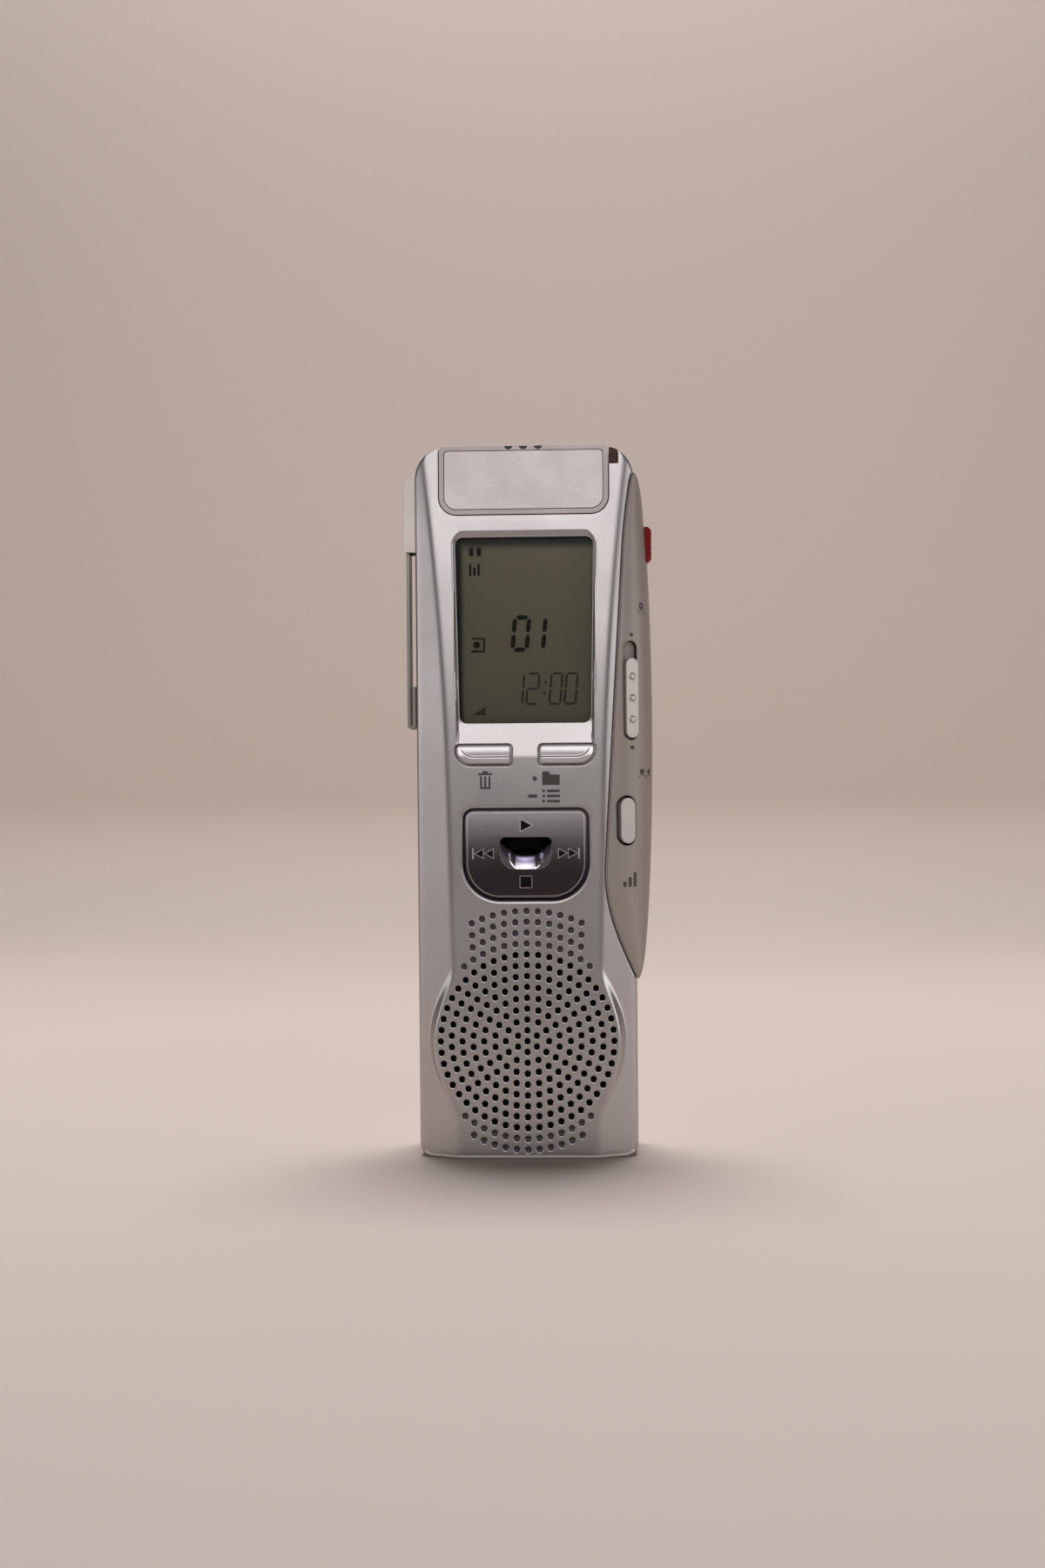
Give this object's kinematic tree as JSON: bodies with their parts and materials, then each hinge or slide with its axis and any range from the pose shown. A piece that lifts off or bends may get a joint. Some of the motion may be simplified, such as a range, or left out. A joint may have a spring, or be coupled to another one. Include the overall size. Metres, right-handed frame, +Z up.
{
  "type": "digital voice recorder",
  "caption": "Slim silver voice recorder with display, four-way pad, soft keys, round speaker grille, side panel with slides, pocket clip and battery door.",
  "frame": {"origin": "middle of the lower end that the recorder stands on", "axes": "+Z up along the body, +X to the viewer's right, the front faces -Y"},
  "size_m": [0.0386, 0.0184, 0.1102],
  "materials": {
    "silver_paint": "satin metallic",
    "taupe_paint": "satin metallic",
    "grey_paint": "satin",
    "bright_plate": "fine brushed",
    "key_paint": "satin metallic",
    "gunmetal": "gloss metallic",
    "chrome_dish": "polished",
    "clear_window": "polished",
    "display_glass": "matte film",
    "red_lens": "gloss",
    "red_plastic": "satin",
    "white_plastic": "matte",
    "black_plastic": "matte",
    "black_rubber": "matte",
    "black_cloth": "matte",
    "green_board": "solder mask",
    "brass_dome": "polished",
    "steel": "satin",
    "cell_wrap": "gloss"
  },
  "bodies": {
    "case": {"front_case": "silver_paint", "rear_case": "silver_paint", "side_panel": "taupe_paint", "mic_cap": "grey_paint", "name_plate": "bright_plate", "lamp_lens": "red_lens", "lamp_led": "white_plastic", "display_window": "clear_window", "lcd_holder": "white_plastic", "lcd_panel": "display_glass", "zebra_strip": "black_rubber", "main_board": "green_board", "board_chips": "black_plastic", "dome_switches": "brass_dome", "ball_seat": "white_plastic", "mode_switch": "black_plastic", "sens_switch": "black_plastic", "rec_switch": "black_plastic", "microphone": "steel", "mic_boot": "black_rubber", "speaker_gauze": "black_cloth", "speaker_frame": "steel", "speaker_magnet": "steel", "earphone_jack": "black_plastic", "microphone_jack": "black_plastic", "battery_cell_left": "cell_wrap", "battery_cell_right": "cell_wrap", "battery_springs": "steel", "battery_plates": "steel", "case_screws": "steel", "clip_pod": "silver_paint", "clip_pin": "steel"},
    "door": {"battery_door": "silver_paint"},
    "clip": {"clip_leaf": "steel"},
    "erase": {"erase_key": "key_paint"},
    "menu": {"menu_key": "key_paint"},
    "pad_pivot": {"pad_ball": "steel"},
    "pad": {"four_way_pad": "gunmetal", "pad_dish": "chrome_dish"},
    "mode": {"mode_key": "key_paint"},
    "sens": {"sens_knob": "key_paint"},
    "rec": {"rec_knob": "red_plastic"},
    "cone": {"speaker_cone": "black_plastic"}
  },
  "joints": [
    {"name": "battery_door_slide", "type": "slide", "parent": "case", "child": "door", "axis": [0, 0, -1], "range_m": [0, 0.008]},
    {"name": "clip_lift", "type": "hinge", "parent": "case", "child": "clip", "pos_m": [-0.0179, -0.0033, 0.09562], "axis": [0, 1, 0], "range_deg": [0, 8], "stiffness_Nm_per_rad": 0.2},
    {"name": "erase_press", "type": "slide", "parent": "case", "child": "erase", "axis": [0, 1, 0], "range_m": [0, 0.0004], "stiffness_N_per_m": 2500},
    {"name": "menu_press", "type": "slide", "parent": "case", "child": "menu", "axis": [0, 1, 0], "range_m": [0, 0.0004], "stiffness_N_per_m": 2500},
    {"name": "pad_left_right", "type": "hinge", "parent": "case", "child": "pad_pivot", "pos_m": [0, -0.00635, 0.04692], "axis": [0, 0, 1], "range_deg": [-2, 2], "stiffness_Nm_per_rad": 0.25},
    {"name": "pad_up_down", "type": "hinge", "parent": "pad_pivot", "child": "pad", "pos_m": [0, -0.00635, 0.04692], "axis": [1, 0, 0], "range_deg": [-2, 2], "stiffness_Nm_per_rad": 0.25},
    {"name": "mode_press", "type": "slide", "parent": "case", "child": "mode", "axis": [-0.5, 0.866, 0], "range_m": [0, 0.0004], "stiffness_N_per_m": 2500},
    {"name": "sensitivity_slide", "type": "slide", "parent": "case", "child": "sens", "axis": [0, 0, 1], "range_m": [0, 0.0024]},
    {"name": "record_slide", "type": "slide", "parent": "case", "child": "rec", "axis": [0, 0, 1], "range_m": [0, 0.0022]},
    {"name": "cone_stroke", "type": "slide", "parent": "case", "child": "cone", "axis": [0, 1, 0], "range_m": [-0.0002, 0.0002], "stiffness_N_per_m": 1200}
  ]
}
